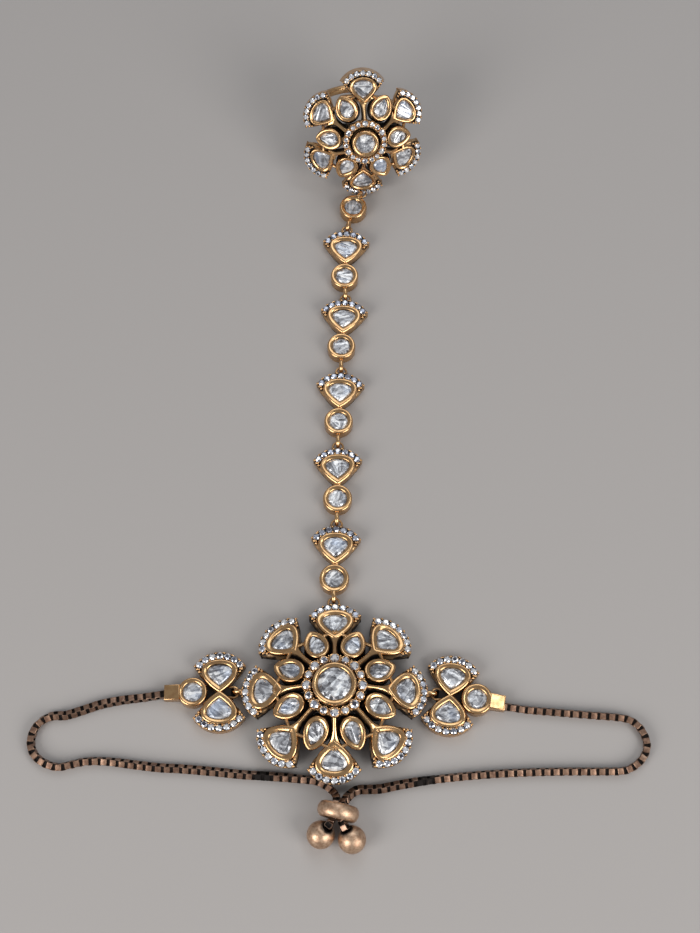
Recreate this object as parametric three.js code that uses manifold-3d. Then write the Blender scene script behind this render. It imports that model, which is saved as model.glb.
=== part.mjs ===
// Hand harness: finger ring, strand of five links, flower, two side stations, box chain with slider.
// Millimetres, +X right, +Y towards the fingers, +Z up. It lies on z = 0.
import * as THREE from "three";
import { mergeVertices } from "three/addons/utils/BufferGeometryUtils.js";
import Module from "manifold-3d";

const wasm = await Module();
wasm.setup();

// Shared sizes.
const LINK_DEPTH = 2.5; // height of a strand link's walls
const POCKET = 1.2; // depth of the seat a stone sits in
const STONE_GAP = 0.12; // clearance round a stone
const STONE_RISE = 0.3; // how far a stone stands above its bezel
const FAN = { width: 7.0, height: 6.54, shift: -0.2, seat: 4.9, seatHeight: 4.3 };
const ARC = { centre: -1.43, outer: 6.2, reach: 62 }; // the paved arc round a fan, degrees each way
const ROUND_RADIUS = 3.25;
const ROUND_SEAT = 2.0;
const FAN_TO_ROUND = 6.7;
const WIRE = 0.22; // radius of the wire of loops and jump rings
const RING_RADIUS = 1.1; // middle radius of a jump ring
const LOOP_RADIUS = 0.85; // middle radius of a soldered loop
const LOOP_REACH = 1.45; // from a jump ring's centre to the middle of the loop through it
const LOOP_HEIGHT = 1.15; // height of loops and jump rings above the table
const STATION_EYE = 1.25; // height of the stations' jump rings
const CHAIN_RADIUS = 0.76;
const BALL_RADIUS = 2.7;

// Where the pieces lie: x, y and heading (degrees, 0 is towards the fingers).
const FLOWER_AT = { x: -3.0, y: -49.05, lean: -2.5 };
const RING_AT = { x: 3.34, y: 69.9, lean: 53.5, side: 5.5 };
const FIRST_ROUND = { x: 0.72, y: 62.18, heading: -2 };
const LINKS = [
  { x: -0.91, y: 51.27, heading: 2.5 },
  { x: -1.37, y: 33.94, heading: 4.3 },
  { x: -2.13, y: 16.24, heading: 2.5 },
  { x: -2.57, y: -1.31, heading: 0.2 },
  { x: -2.95, y: -18.75, heading: 2.1 },
];
const STATIONS = [
  { name: "left", x: -25.75, y: -48.9, heading: -91 },
  { name: "right", x: 19.75, y: -49.6, heading: 98.5 },
];
const RING_JUMP = { x: 2.63, y: 66.47 };
const FLOWER_JUMP = { x: -3.3, y: -30.4 };
const SLIDER_AT = { x: -2.25, y: -72.68, z: 4.07, turn: -13, lean: 6 };
const BALLS = [
  { name: "ball_left", x: -5.57, y: -76.85 },
  { name: "ball_right", x: 0.38, y: -77.77 },
];

// Chain routes from the end cap round to the ball.
const CHAIN_LEFT = [
  [-37.7, -49.45, 1.3], [-41.1, -49.86, 0.8], [-45.12, -50.36, 0.8], [-49.11, -51.19, 0.8],
  [-53.05, -52.51, 0.8], [-56.01, -53.43, 0.8], [-58.41, -53.53, 0.8], [-60.57, -54.45, 0.8],
  [-61.85, -55.89, 0.8], [-62.42, -57.69, 0.8], [-62.39, -59.31, 0.8], [-61.64, -61.12, 0.8],
  [-59.73, -62.72, 0.8], [-56.88, -63.6, 0.8], [-54.34, -63.11, 0.8], [-51.4, -62.51, 0.8],
  [-47.42, -62.51, 0.8], [-42.42, -63.11, 0.8], [-37.41, -63.72, 0.8], [-33.08, -63.95, 0.8],
  [-27.11, -64.45, 0.8], [-21.14, -65.06, 0.8], [-15.19, -65.45, 0.8], [-9.24, -65.95, 0.8],
  [-6.5, -66.35, 0.8], [-5.0, -67.0, 0.8], [-3.75, -67.9, 0.8], [-2.85, -69.05, 1.7],
  [-2.55, -70.35, 3.2], [-2.75, -71.4, 3.95], [-3.05, -72.5, 4.1], [-3.3, -73.7, 4.25],
  [-3.52, -74.5, 4.68], [-3.71, -75.23, 5.11],
];
const CHAIN_RIGHT = [
  [31.2, -51.85, 1.3], [35.65, -52.37, 0.8], [41.67, -52.89, 0.8], [47.67, -53.39, 0.8],
  [52.67, -53.81, 0.8], [55.25, -54.41, 0.8], [56.96, -55.85, 0.8], [57.92, -57.87, 0.8],
  [58.08, -59.66, 0.8], [57.36, -61.47, 0.8], [55.84, -63.07, 0.8], [53.39, -64.26, 0.8],
  [49.0, -64.45, 0.8], [43.05, -64.45, 0.8], [37.09, -64.55, 0.8], [31.14, -64.77, 0.8],
  [27.73, -64.96, 0.8], [21.75, -65.45, 0.8], [14.8, -66.24, 0.8], [9.85, -67.03, 0.8],
  [5.89, -67.82, 0.8], [3.1, -67.94, 0.8], [1.45, -68.07, 0.8], [0.29, -68.78, 1.3],
  [-0.67, -69.94, 2.4], [-1.2, -71.07, 3.5], [-1.47, -72.8, 4.07], [-1.55, -74.1, 4.15],
  [-1.35, -74.9, 4.5], [-1.05, -75.5, 4.8],
];

const rad = THREE.MathUtils.degToRad;

// A drop outline with its point towards -Y, centred on y = shift. A lower sharpness is rounder.
function drop(width, height, shift = 0, sharpness = 1, count = 12) {
  const angles = Array.from({ length: count }, (_, i) => (2 * Math.PI * i) / count);
  const raw = angles.map((a) => Math.sin(a) * Math.sin(a / 2) ** sharpness);
  const widest = Math.max(...raw);
  return angles.map((a, i) => {
    return new THREE.Vector2((width / 2) * (raw[i] / widest), shift - (height / 2) * Math.cos(a));
  });
}

function circle(radius, count = 14) {
  const points = [];
  for (let i = 0; i < count; i++) {
    const a = (2 * Math.PI * (i + 0.5)) / count;
    points.push(new THREE.Vector2(radius * Math.cos(a), radius * Math.sin(a)));
  }
  return points;
}

// The outline of the paved arc: an outer circle closed by straight ends on the bezel's shoulders.
function arcOutline(count = 6) {
  const points = [new THREE.Vector2(0, 0)];
  points.push(new THREE.Vector2(FAN.width / 2 - 0.3, 0.1));
  for (let i = 0; i <= count; i++) {
    const a = rad(ARC.reach * (1 - (2 * i) / count));
    const y = ARC.centre + ARC.outer * Math.cos(a);
    points.push(new THREE.Vector2(ARC.outer * Math.sin(a) * 0.88, y));
  }
  points.push(new THREE.Vector2(-FAN.width / 2 + 0.3, 0.1));
  return points;
}

function toSolid(geometry) {
  const bare = geometry.clone();
  bare.deleteAttribute("normal");
  bare.deleteAttribute("uv");
  const merged = mergeVertices(bare, 1e-4);
  const vertProperties = merged.attributes.position.array;
  return new wasm.Manifold(
    new wasm.Mesh({ numProp: 3, vertProperties, triVerts: new Uint32Array(merged.index.array) }),
  );
}

function toGeometry(solid) {
  const mesh = solid.getMesh();
  const geometry = new THREE.BufferGeometry();
  geometry.setAttribute("position", new THREE.BufferAttribute(mesh.vertProperties, 3));
  geometry.setIndex(new THREE.BufferAttribute(mesh.triVerts, 1));
  const flat = geometry.toNonIndexed();
  flat.computeVertexNormals();
  return flat;
}

// A straight-walled solid of an outline between two heights.
function prism(points, low, high) {
  const shape = new THREE.Shape(points);
  const geometry = new THREE.ExtrudeGeometry(shape, { depth: high - low, bevelEnabled: false });
  return toSolid(geometry.translate(0, 0, low));
}

// A stone: an outline with a sloping crown, from the seat to a little above the bezel.
function stoneSolid(points) {
  const table = points.map((p) => p.clone().multiplyScalar(0.68));
  const low = prism(points, -POCKET + 0.15, STONE_RISE - 0.45);
  const high = prism(table, STONE_RISE - 0.46, STONE_RISE);
  return wasm.Manifold.hull([low, high]);
}

function box(sx, sy, sz, x, y, z) {
  return toSolid(new THREE.BoxGeometry(sx, sy, sz).translate(x, y, z));
}

function moved(solid, matrix) {
  return solid.transform(Array.from(matrix.elements));
}

function union(solids) {
  return wasm.Manifold.union(solids);
}

// Placement on the table: a turn about Z, heading clockwise from +Y, then a shift.
function placed(x, y, heading, z = 0) {
  const matrix = new THREE.Matrix4().makeRotationZ(rad(-heading));
  return matrix.setPosition(x, y, z);
}

// Placement on a flower: tipped outwards, set at a radius and turned to its bearing.
function onFlower(bearing, radius, height, tip, scale = 1) {
  const turn = new THREE.Matrix4().makeRotationZ(rad(-bearing));
  const shift = new THREE.Matrix4().makeTranslation(0, radius, height);
  const lean = new THREE.Matrix4().makeRotationX(rad(-tip));
  const size = new THREE.Matrix4().makeScale(scale, scale, 1);
  return turn.multiply(shift).multiply(lean).multiply(size);
}

function torus(radius, wire, along = 10, round = 5) {
  return new THREE.TorusGeometry(radius, wire, round, along);
}

// A long soldered loop standing on edge, on the line from a jump ring to the piece it hangs from.
function standingLoop(jump, piece, z, wire = WIRE) {
  const away = new THREE.Vector2(piece.x - jump.x, piece.y - jump.y).normalize();
  const geometry = torus(LOOP_RADIUS, wire).rotateY(Math.PI / 2).scale(1, 1.3, 1);
  const heading = THREE.MathUtils.radToDeg(Math.atan2(away.x, away.y));
  const spot = placed(jump.x + LOOP_REACH * away.x, jump.y + LOOP_REACH * away.y, heading, z);
  return moved(toSolid(geometry), spot);
}

// A fan: a drop bezel with the paved arc round its broad end, top at z = 0.
function fanSolid(depth) {
  const bezel = prism(drop(FAN.width, FAN.height, FAN.shift), -depth, 0);
  return union([bezel, prism(arcOutline(), -depth, -0.35)]).subtract(fanSeat());
}

function fanSeat() {
  return prism(drop(FAN.seat + 0.24, FAN.seatHeight + 0.24), -POCKET, 1);
}

function fanStone() {
  const gap = 2 * STONE_GAP - 0.24;
  return stoneSolid(drop(FAN.seat - gap - 0.02, FAN.seatHeight - gap - 0.02));
}

function roundSolid(depth, radius, seat) {
  const bezel = prism(circle(radius), -depth, 0);
  return bezel.subtract(prism(circle(seat), -POCKET, 1));
}

function roundStone(seat) {
  return stoneSolid(circle(seat - STONE_GAP));
}

// A flower head in its own frame: the halo's top is z = 0 and the first petal points to +Y.
function flowerHead(size) {
  const metal = [];
  const seats = [];
  const stones = [];
  const step = 360 / size.petals;
  const hub = prism(circle(size.hub, 16), -size.hubDepth, size.hubRise);
  const halo = prism(circle(size.halo, 20), -size.hubDepth, 0);
  const hubSeat = prism(circle(size.hubSeat), size.hubRise - POCKET, 3);
  metal.push(union([hub, halo]).subtract(hubSeat));
  const top = new THREE.Matrix4().makeTranslation(0, 0, size.hubRise);
  stones.push({ name: "centre_stone", solid: moved(roundStone(size.hubSeat), top) });
  for (let i = 0; i < size.petals; i++) {
    const bearing = i * step;
    const radius = size.petalRadii[i % 2];
    const spot = onFlower(bearing, radius, size.petalHeight, size.petalTip, size.scale);
    metal.push(moved(fanSolid(size.petalDepth), spot));
    seats.push(moved(fanSeat(), spot));
    stones.push({ name: "petal_stone_" + (i + 1), solid: moved(fanStone(), spot) });
    const run = radius - size.halo;
    const slope = THREE.MathUtils.radToDeg(Math.atan(-size.petalHeight / run));
    const middle = size.halo + run / 2 - 1.2;
    const height = (size.petalHeight * (run / 2 - 0.2)) / run;
    const spoke = box(1.1, run - 0.6, 1.6, 0, 0, -1.1);
    metal.push(moved(spoke, onFlower(bearing, middle, height, slope)));
  }
  for (let i = 0; i < size.petals; i++) {
    const bearing = (i + 0.5) * step;
    const spot = onFlower(bearing, size.pearRadius, size.pearHeight, size.pearTip);
    spot.multiply(new THREE.Matrix4().makeRotationZ(Math.PI));
    const seatOutline = drop(size.pearSeat + 0.24, size.pearSeatLength + 0.3, 0, 1, 10);
    const bezel = drop(size.pearWidth, size.pearLength, 0, 0.6, 10);
    metal.push(moved(prism(bezel, -size.pearDepth, 0), spot));
    seats.push(moved(prism(seatOutline, -POCKET, 1), spot));
    const outline = drop(size.pearSeat - 0.02, size.pearSeatLength - 0.06, 0, 1, 10);
    stones.push({ name: "pear_stone_" + (i + 1), solid: moved(stoneSolid(outline), spot) });
    const bars = box(size.barLength, 0.7, 0.9, 0, size.barShift, -1.4);
    metal.push(moved(bars, onFlower(bearing, size.pearRadius, size.pearHeight, size.pearTip)));
  }
  return { metal: union(metal).subtract(union(seats)), stones };
}

const nodes = [];

function addNode(name, solid, material) {
  const mesh = new THREE.Mesh(toGeometry(solid), material.clone());
  mesh.name = name;
  nodes.push(mesh);
}

const gold = new THREE.MeshStandardMaterial({ color: 0xb08850, metalness: 1, roughness: 0.35 });
const rose = new THREE.MeshStandardMaterial({ color: 0x8a6450, metalness: 1, roughness: 0.4 });
const stone = new THREE.MeshStandardMaterial({ color: 0xd8dde2, metalness: 0.2, roughness: 0.1 });

// The main flower, set down on the table with its near side lifted by the chain.
const flowerSize = {
  petals: 8, scale: 1.02, hub: 4.35, hubRise: 0.9, hubDepth: 3.2, hubSeat: 3.3, halo: 6.55,
  petalRadii: [13.85, 14.35], petalHeight: -3.67, petalTip: 15, petalDepth: 2.7,
  pearRadius: 9.8, pearHeight: -2.3, pearTip: 20, pearWidth: 4.85, pearLength: 6.9,
  pearSeat: 3.2, pearSeatLength: 4.7, pearDepth: 2.4, barLength: 8.0, barShift: 1.5,
};
const flower = flowerHead(flowerSize);
const flowerLean = new THREE.Matrix4().makeRotationX(rad(FLOWER_AT.lean));
const flowerLow = moved(flower.metal, flowerLean).boundingBox().min[2];
const flowerSpot = new THREE.Matrix4()
  .makeTranslation(FLOWER_AT.x, FLOWER_AT.y, 0.02 - flowerLow)
  .multiply(flowerLean);
let flowerMetal = moved(flower.metal, flowerSpot);

// The finger ring: a smaller head on an open shank, leaning on its lowest petal and the shank.
const ringSize = {
  petals: 6, scale: 0.88, hub: 2.95, hubRise: 1.0, hubDepth: 3.4, hubSeat: 2.15, halo: 5.0,
  petalRadii: [10.45, 10.45], petalHeight: -4.5, petalTip: 16, petalDepth: 2.5,
  pearRadius: 7.85, pearHeight: -2.9, pearTip: 20, pearWidth: 4.5, pearLength: 5.7,
  pearSeat: 2.9, pearSeatLength: 3.9, pearDepth: 2.3, barLength: 6.6, barShift: 1.0,
};
const SHANK = {
  half: 9.6, deep: 11.0, top: -4.2, offset: 1.5, tip: 7, width: 1.9, thick: 1.2, aside: -2.4,
};
const ringHead = flowerHead(ringSize);

// The shank is an oval hoop whose two ends pass side by side, as on an adjustable ring.
function shankSolid() {
  const points = [];
  for (let i = 0; i <= 30; i++) {
    const a = rad(-108 + (390 * i) / 30);
    const aside = a < Math.PI / 2 ? SHANK.aside * ((Math.PI / 2 - a) / rad(170)) : 0;
    const y = Math.max(aside, SHANK.aside);
    points.push(new THREE.Vector3(SHANK.half * Math.cos(a), y, SHANK.deep * Math.sin(a)));
  }
  const path = new THREE.CatmullRomCurve3(points);
  const w = SHANK.width / 2;
  const t = SHANK.thick / 2;
  const section = new THREE.Shape([
    new THREE.Vector2(-t, -w * 0.6), new THREE.Vector2(-t * 0.6, -w),
    new THREE.Vector2(t * 0.6, -w), new THREE.Vector2(t, -w * 0.6),
    new THREE.Vector2(t, w * 0.6), new THREE.Vector2(t * 0.6, w),
    new THREE.Vector2(-t * 0.6, w), new THREE.Vector2(-t, w * 0.6),
  ]);
  return new THREE.ExtrudeGeometry(section, { steps: 30, extrudePath: path, bevelEnabled: false });
}
const shankSpot = new THREE.Matrix4()
  .makeTranslation(0, SHANK.offset, SHANK.top)
  .multiply(new THREE.Matrix4().makeRotationX(rad(SHANK.tip)))
  .multiply(new THREE.Matrix4().makeTranslation(0, 0, -SHANK.deep));
const shank = moved(toSolid(shankSolid()), shankSpot);
const bridge = box(15, 3.2, 1.2, 0, SHANK.offset, SHANK.top - 0.3);
const ringMetal0 = union([ringHead.metal, shank, bridge]);
const ringLean = new THREE.Matrix4()
  .makeRotationX(rad(RING_AT.lean))
  .multiply(new THREE.Matrix4().makeRotationY(rad(RING_AT.side)));
const ringLow = moved(ringMetal0, ringLean).boundingBox().min[2];
const ringSpot = new THREE.Matrix4()
  .makeTranslation(RING_AT.x, RING_AT.y, 0.02 - ringLow)
  .multiply(ringLean);
let ringMetal = moved(ringMetal0, ringSpot);

// Jump rings lie flat; each is threaded through a hole in the piece below it.
function jumpRing(x, y, z, tilt = 0) {
  const spot = new THREE.Matrix4().makeTranslation(x, y, z);
  spot.multiply(new THREE.Matrix4().makeRotationX(rad(tilt)));
  const ring = moved(toSolid(torus(RING_RADIUS, WIRE)), spot);
  const hole = moved(toSolid(torus(RING_RADIUS, WIRE + 0.2)), spot);
  return { ring, hole };
}

const ringSet = [];

// A round bezel on the strand, with a loop for each jump ring it holds.
function roundAt(point, jumps) {
  const spot = placed(point.x, point.y, point.heading, LINK_DEPTH);
  const bezel = moved(prism(circle(ROUND_RADIUS), -LINK_DEPTH, 0), spot);
  const loops = jumps.map((jump) => standingLoop(jump, point, LOOP_HEIGHT));
  const seat = moved(prism(circle(ROUND_SEAT), -POCKET, 1), spot);
  const metal = union([bezel, ...loops]).subtract(seat);
  return { metal, stone: moved(roundStone(ROUND_SEAT), spot) };
}

// Jump rings of the strand, from the ring's lowest petal to the flower's first petal.
const linkJumps = LINKS.map((link) => {
  const spot = placed(link.x, link.y, link.heading);
  return new THREE.Vector3(0, ARC.centre + ARC.outer + 0.42, 0).applyMatrix4(spot);
});
linkJumps.push(FLOWER_JUMP);
const ringJump = jumpRing(RING_JUMP.x, RING_JUMP.y, LOOP_HEIGHT);
const ringLoop = standingLoop(RING_JUMP, FIRST_ROUND, LOOP_HEIGHT, WIRE + 0.2);
ringMetal = ringMetal.subtract(union([ringJump.hole, ringLoop]));
ringSet.push(ringJump.ring);

// The single round link hangs from the ring's lowest petal.
const first = roundAt(FIRST_ROUND, [RING_JUMP, linkJumps[0]]);
addNode("strand_round", first.metal, gold);
addNode("strand_round_stone_1", first.stone, stone);

// Five links: a fan soldered to a round bezel, a jump ring above and a loop below.
LINKS.forEach((link, i) => {
  const spot = placed(link.x, link.y, link.heading, LINK_DEPTH);
  const low = new THREE.Vector3(0, -FAN_TO_ROUND, 0).applyMatrix4(spot);
  const end = roundAt({ x: low.x, y: low.y, heading: link.heading }, [linkJumps[i + 1]]);
  const jump = jumpRing(linkJumps[i].x, linkJumps[i].y, LOOP_HEIGHT);
  const neck = box(1.5, 1.6, 1.7, 0, -3.5, -1.35);
  const body = union([moved(union([fanSolid(LINK_DEPTH), neck]), spot), end.metal]);
  addNode("strand_link_" + (i + 1), body.subtract(jump.hole), gold);
  addNode("strand_fan_stone_" + (i + 1), moved(fanStone(), spot), stone);
  addNode("strand_round_stone_" + (i + 2), end.stone, stone);
  ringSet.push(jump.ring);
});

// The last jump ring is threaded through the flower's first petal.
const lastJump = jumpRing(FLOWER_JUMP.x, FLOWER_JUMP.y, LOOP_HEIGHT);
flowerMetal = flowerMetal.subtract(lastJump.hole);
ringSet.push(lastJump.ring);

// Side stations: two fans point to point, a round bezel outside and a box-shaped end cap.
// Each hangs by a jump ring from a loop on the flower's side petal.
const sideLoops = [];
for (const station of STATIONS) {
  const spot = placed(station.x, station.y, station.heading, LINK_DEPTH);
  const turned = (angle, x, y) =>
    new THREE.Matrix4().makeTranslation(x, y, 0).multiply(
      new THREE.Matrix4().makeRotationZ(rad(angle)),
    );
  const fanSpots = [turned(90, -3.35, 0.05), turned(-90, 3.35, 0.05)];
  const roundSpot = turned(0, 0, 5.35);
  const cap = box(3.3, 3.6, 2.3, 0, 5.35 + 4.4, -1.25);
  const bore = box(1.9, 1.6, 1.9, 0, 5.35 + 5.7, -1.2);
  const tab = box(2.4, 2.7, 1.1, 0, -0.95, STATION_EYE - LINK_DEPTH);
  const plate = box(3.6, 4.2, 1.0, 0, 1.3, -1.9);
  const metal = fanSpots.map((s) => moved(fanSolid(LINK_DEPTH), s));
  metal.push(moved(roundSolid(LINK_DEPTH, 2.95, 1.95), roundSpot), cap, tab, plate);
  const eye = new THREE.Vector3(0, -2.6, STATION_EYE - LINK_DEPTH).applyMatrix4(spot);
  const jump = jumpRing(eye.x, eye.y, eye.z);
  const body = moved(union(metal).subtract(bore), spot).subtract(jump.hole);
  addNode("station_" + station.name, body, gold);
  ringSet.push(jump.ring);
  sideLoops.push(standingLoop(eye, FLOWER_AT, eye.z));
  fanSpots.forEach((s, i) => {
    addNode("station_" + station.name + "_fan_stone_" + (i + 1), moved(moved(fanStone(), s), spot), stone);
  });
  const roundAt = moved(moved(roundStone(1.95), roundSpot), spot);
  addNode("station_" + station.name + "_round_stone", roundAt, stone);
}

flowerMetal = union([flowerMetal, ...sideLoops]);
addNode("flower_frame", flowerMetal, gold);
for (const item of flower.stones) {
  addNode("flower_" + item.name, moved(item.solid, flowerSpot), stone);
}
addNode("finger_ring", ringMetal, gold);
addNode("ring_centre_stone", moved(ringHead.stones[0].solid, ringSpot), stone);
ringSet.forEach((ring, i) => addNode("jump_ring_" + (i + 1), ring, gold));

// The box chain, one run each side, from the end cap through the slider to its ball.
function chainSolid(route) {
  const path = new THREE.CatmullRomCurve3(route.map((p) => new THREE.Vector3(...p)));
  path.arcLengthDivisions = 800;
  const section = new THREE.Shape(circle(CHAIN_RADIUS, 8));
  const settings = { steps: 72, extrudePath: path, bevelEnabled: false };
  return toSolid(new THREE.ExtrudeGeometry(section, settings));
}
addNode("chain_left", chainSolid(CHAIN_LEFT), rose);
addNode("chain_right", chainSolid(CHAIN_RIGHT), rose);

// The slider is a rounded ring on edge, with the two chains side by side through its hole.
const profile = [];
for (let i = 0; i <= 12; i++) {
  const a = (2 * Math.PI * (i % 12)) / 12;
  profile.push(new THREE.Vector2(2.97 + 1.08 * Math.cos(a), 1.5 * Math.sin(a)));
}
const sliderTurn = new THREE.Matrix4()
  .makeTranslation(SLIDER_AT.x, SLIDER_AT.y, SLIDER_AT.z)
  .multiply(new THREE.Matrix4().makeRotationZ(rad(SLIDER_AT.turn)))
  .multiply(new THREE.Matrix4().makeRotationX(rad(SLIDER_AT.lean)));
const slider = toSolid(new THREE.LatheGeometry(profile, 24));
addNode("slider_bead", moved(slider, sliderTurn), gold);

for (const ball of BALLS) {
  const spot = new THREE.Matrix4().makeTranslation(ball.x, ball.y, BALL_RADIUS);
  const body = toSolid(new THREE.SphereGeometry(BALL_RADIUS, 18, 11).rotateX(Math.PI / 2));
  addNode(ball.name, moved(body, spot), gold);
}

// The group is shifted so that its box stands centred on the origin.
const group = new THREE.Group();
for (const mesh of nodes) group.add(mesh);
const bounds = new THREE.Box3().setFromObject(group);
const middle = bounds.getCenter(new THREE.Vector3());
group.position.set(-middle.x, -middle.y, -bounds.min.z);

export default group;
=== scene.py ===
"""Looks of the hand harness: cast settings, stones, box chain and their finishes, in metres."""

import contextlib
import math

import bmesh
import bpy
import numpy as np
from mathutils import Matrix, Vector


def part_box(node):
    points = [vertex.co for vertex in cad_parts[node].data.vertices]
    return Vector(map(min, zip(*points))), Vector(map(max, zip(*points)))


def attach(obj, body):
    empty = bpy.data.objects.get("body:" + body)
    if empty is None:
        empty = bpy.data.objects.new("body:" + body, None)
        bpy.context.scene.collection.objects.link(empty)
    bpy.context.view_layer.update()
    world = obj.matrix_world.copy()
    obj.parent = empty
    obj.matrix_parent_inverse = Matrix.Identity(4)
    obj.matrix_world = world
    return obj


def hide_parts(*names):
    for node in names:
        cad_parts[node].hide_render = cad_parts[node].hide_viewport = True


bl_info = {
    "name": "Hand Harness",
    "version": (1, 0, 0),
    "blender": (4, 5, 0),
    "location": "3D View > Sidebar > Harness",
    "description": "Builds the settings, stones, chain and stage of a hand harness",
    "category": "Add Mesh",
}

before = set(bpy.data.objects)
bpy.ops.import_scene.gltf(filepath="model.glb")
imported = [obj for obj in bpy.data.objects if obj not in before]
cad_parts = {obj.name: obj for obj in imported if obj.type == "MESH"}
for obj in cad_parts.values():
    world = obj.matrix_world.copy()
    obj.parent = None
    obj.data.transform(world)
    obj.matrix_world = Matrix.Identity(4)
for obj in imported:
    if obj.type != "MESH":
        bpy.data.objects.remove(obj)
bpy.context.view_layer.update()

MM = 0.001
BODY = "root"

# Sizes and places are in millimetres from the layout's own zero, and angles in degrees.

# x and y.
RING_JUMP = (2.63, 66.47)
FLOWER_JUMP = (-3.3, -30.4)
# x, y and heading, clockwise from +Y.
FIRST_ROUND = (0.72, 62.18, -2.0)
LINKS = [
    (-0.91, 51.27, 2.5),
    (-1.37, 33.94, 4.3),
    (-2.13, 16.24, 2.5),
    (-2.57, -1.31, 0.2),
    (-2.95, -18.75, 2.1),
]
STATIONS = {"left": (-25.75, -48.9, -91.0), "right": (19.75, -49.6, 98.5)}
# x, y and z.
FLOWER_AT = (-3.0, -49.05, 8.33)
RING_AT = (3.34, 69.9, 15.88)
SLIDER_AT = (-2.25, -72.68, 4.07)
BALLS = {"left": (-5.57, -76.85, 2.7), "right": (0.38, -77.77, 2.7)}
# The way that the hole of each ball faces.
BALL_MOUTHS = {"left": (0.50, 0.42, 0.76), "right": (-0.42, 0.62, 0.66)}
FLOWER_LEAN = -2.5
RING_LEAN = 53.5
RING_SIDE = 5.5
SLIDER_HEADING = -13
SLIDER_LEAN = 6

# The middle of the chain from its end cap to its ball: x, y and z.
CHAIN_LEFT = [
    (-36.9, -49.35, 1.3), (-37.7, -49.45, 1.3), (-41.1, -49.86, 0.8), (-45.12, -50.36, 0.8),
    (-49.11, -51.19, 0.8), (-53.05, -52.51, 0.8), (-56.01, -53.43, 0.8), (-58.41, -53.53, 0.8),
    (-60.57, -54.45, 0.8), (-61.85, -55.89, 0.8), (-62.42, -57.69, 0.8), (-62.39, -59.31, 0.8),
    (-61.64, -61.12, 0.8), (-59.73, -62.72, 0.8), (-56.88, -63.6, 0.8), (-54.34, -63.11, 0.8),
    (-51.4, -62.51, 0.8), (-47.42, -62.51, 0.8), (-42.42, -63.11, 0.8), (-37.41, -63.72, 0.8),
    (-33.08, -63.95, 0.8), (-27.11, -64.45, 0.8), (-21.14, -65.06, 0.8), (-15.19, -65.45, 0.8),
    (-9.24, -65.95, 0.8), (-6.5, -66.35, 0.8), (-5.0, -67.0, 0.8), (-3.75, -67.9, 0.8),
    (-2.85, -69.05, 1.7), (-2.55, -70.35, 3.2), (-2.75, -71.4, 3.95), (-3.05, -72.5, 4.1),
    (-3.3, -73.7, 4.25), (-3.55, -74.5, 4.75), (-3.95, -75.3, 5.05), (-4.5, -75.95, 4.4),
]
CHAIN_RIGHT = [
    (30.2, -51.7, 1.3), (31.2, -51.85, 1.3), (35.65, -52.37, 0.8), (41.67, -52.89, 0.8),
    (47.67, -53.39, 0.8), (52.67, -53.81, 0.8), (55.25, -54.41, 0.8), (56.96, -55.85, 0.8),
    (57.92, -57.87, 0.8), (58.08, -59.66, 0.8), (57.36, -61.47, 0.8), (55.84, -63.07, 0.8),
    (53.39, -64.26, 0.8), (49.0, -64.45, 0.8), (43.05, -64.45, 0.8), (37.09, -64.55, 0.8),
    (31.14, -64.77, 0.8), (27.73, -64.96, 0.8), (21.75, -65.45, 0.8), (14.8, -66.24, 0.8),
    (9.85, -67.03, 0.8), (5.89, -67.82, 0.8), (3.1, -67.94, 0.8), (1.45, -68.07, 0.8),
    (0.29, -68.78, 1.3), (-0.67, -69.94, 2.4), (-1.2, -71.07, 3.5), (-1.47, -72.8, 4.07),
    (-1.55, -74.1, 4.15), (-1.35, -74.9, 4.5), (-1.0, -75.65, 4.7), (-0.6, -76.4, 4.3),
]
# How far the chain is rolled about its own line, by share of the way along it.
ROLL_LEFT = [
    (0, 1), (0.06, 8), (0.12, 22), (0.19, 36), (0.23, 60), (0.27, 90), (0.33, 108), (0.45, 114),
    (0.5, 124), (0.56, 130), (0.78, 130), (0.84, 118), (0.92, 100), (1, 92),
]
ROLL_RIGHT = [
    (0, 22), (0.25, 18), (0.33, 0), (0.4, -20), (0.74, -24), (0.79, -46), (0.86, -50), (1, -60),
]
# The blackened links lie between these x, on the near side of this y.
BLACKENED = {"left": (-18.5, -15.5), "right": (12.9, 17.0)}
BLACKENED_BELOW = -60
# The gap that keeps each run's first and last link off the cap and the ball.
CHAIN_START = 0.2
CHAIN_END = 0.3
ROUTE_STEP = 0.05
LINK = dict(length=1.17, wall=0.2, band=0.44, chamfer=0.11, crown=0.04, sink=0.01)

LINK_DEPTH = 2.5
FAN = dict(width=7.0, height=6.54, seat=(4.95, 4.4), gem=(4.92, 4.34), tip=3.47)
ROUND_SEAT = 1.95
ROUND_GEM = 1.97
STRAND_ROUND = 3.05
STATION_ROUNDS = {"left": 2.92, "right": 3.12}
# Down the link from the fan's middle to the round's.
STRAND_ROUND_DOWN = 6.7
STATION_ROUND_UP = 5.35
STATION_FAN = (3.35, 0.05)
FAN_SIZES = dict(strand=1.06, station=1.05)
LOOP = dict(radius=0.85, wire=0.47, stretch=1.3, reach=1.45)
LOOP_HEIGHT = 1.4
STATION_LOOP_HEIGHT = 1.35
STATION_EYE = (0, -2.6, 0)
JUMP_RADIUS = 1.1
GEM_FOOT = -0.62
GEM_RISE = 0.5
FAN_GEM_RISE = 0.55
HUB_GEM_RISE = 0.72

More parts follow.
